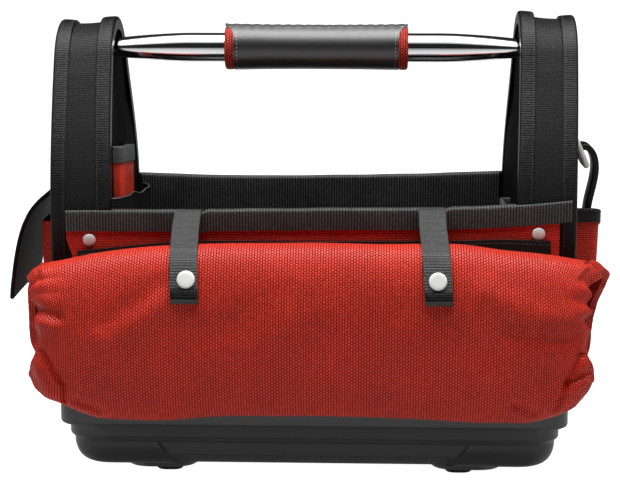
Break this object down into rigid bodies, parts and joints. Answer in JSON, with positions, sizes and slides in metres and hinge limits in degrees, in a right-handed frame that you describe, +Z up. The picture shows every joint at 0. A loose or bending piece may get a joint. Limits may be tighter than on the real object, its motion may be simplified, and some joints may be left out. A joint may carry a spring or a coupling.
{
  "type": "tool bag",
  "caption": "Open-topped soft tool bag on a moulded base, with padded end hoops, a tube handle and a rolled cover held by two snap straps.",
  "frame": {"origin": "middle of the footprint of the whole object, on the surface that it stands on", "axes": "+X to the right along the handle, +Y to the back, +Z up; the rolled cover faces -Y"},
  "size_m": [0.535, 0.2932, 0.4114],
  "materials": {
    "cover_fabric": "coarse red woven polyester",
    "panel_fabric": "red woven polyester, in shade",
    "inner_pocket_red": "ribbed red fabric",
    "hoop_fabric": "black woven polyester",
    "flap_fabric": "black coated fabric",
    "lining_fabric": "plain black lining",
    "rim_webbing": "ribbed black webbing",
    "binding_webbing": "black binding tape",
    "strap_webbing": "dark grey strap webbing",
    "moulded_base": "satin moulded black plastic",
    "stiff_board": "plain board",
    "runner_rubber": "matt rubber",
    "padding_foam": "foam",
    "grip_mesh": "red spacer mesh",
    "grip_leather": "black grained leather",
    "handle_chrome": "polished plated tube",
    "satin_steel": "satin nickel",
    "dark_steel": "plain steel"
  },
  "bodies": {
    "root": {"base_tray": "moulded_base", "left_runner": "runner_rubber", "right_runner": "runner_rubber", "base_board": "stiff_board", "cover_roll": "cover_fabric", "handle_tube": "handle_chrome", "grip_foam": "padding_foam", "grip_liner": "grip_mesh", "grip_leather": "grip_leather", "left_end_pocket": "panel_fabric", "right_end_pocket": "panel_fabric", "right_pocket_binding": "binding_webbing", "tool_loop": "binding_webbing", "ring_tab": "binding_webbing", "left_tall_pocket": "inner_pocket_red", "left_low_pocket": "hoop_fabric", "right_inner_pocket": "hoop_fabric", "front_panel": "panel_fabric", "front_stiffener": "stiff_board", "front_lining": "lining_fabric", "front_rim_webbing": "rim_webbing", "front_pocket": "hoop_fabric", "back_panel": "panel_fabric", "back_stiffener": "stiff_board", "back_lining": "lining_fabric", "back_rim_webbing": "rim_webbing", "back_pocket": "hoop_fabric", "left_gusset": "hoop_fabric", "left_frame_arch": "dark_steel", "left_inner_panel": "lining_fabric", "left_outer_panel": "hoop_fabric", "left_inner_binding": "binding_webbing", "left_outer_binding": "binding_webbing", "left_foam_core": "padding_foam", "left_handle_bracket": "dark_steel", "left_handle_bolt": "dark_steel", "left_front_rivet": "satin_steel", "left_back_rivet": "satin_steel", "left_strap_tail": "strap_webbing", "left_snap_stud": "satin_steel", "right_gusset": "hoop_fabric", "right_frame_arch": "dark_steel", "right_inner_panel": "lining_fabric", "right_outer_panel": "hoop_fabric", "right_inner_binding": "binding_webbing", "right_outer_binding": "binding_webbing", "right_foam_core": "padding_foam", "right_handle_bracket": "dark_steel", "right_handle_bolt": "dark_steel", "right_front_rivet": "satin_steel", "right_back_rivet": "satin_steel", "right_strap_tail": "strap_webbing", "right_snap_stud": "satin_steel"},
    "left_strap": {"left_strap": "strap_webbing", "left_snap_cap": "satin_steel"},
    "right_strap": {"right_strap": "strap_webbing", "right_snap_cap": "satin_steel"},
    "left_flap": {"left_flap": "flap_fabric"},
    "tool_ring": {"tool_ring": "satin_steel"}
  },
  "joints": [
    {"name": "left_strap_hinge", "type": "hinge", "parent": "root", "child": "left_strap", "pos_m": [-0.10085, -0.0663, 0.2529], "axis": [-1, 0, 0], "range_deg": [0, 150]},
    {"name": "right_strap_hinge", "type": "hinge", "parent": "root", "child": "right_strap", "pos_m": [0.11595, -0.0663, 0.2529], "axis": [-1, 0, 0], "range_deg": [0, 150]},
    {"name": "left_flap_hinge", "type": "hinge", "parent": "root", "child": "left_flap", "pos_m": [-0.22655, 0.0362, 0.263], "axis": [0, 1, 0], "range_deg": [0, 120]},
    {"name": "tool_ring_hinge", "type": "hinge", "parent": "root", "child": "tool_ring", "pos_m": [0.24185, -0.0038, 0.3085], "axis": [0, -1, 0], "range_deg": [-12, 5]}
  ]
}
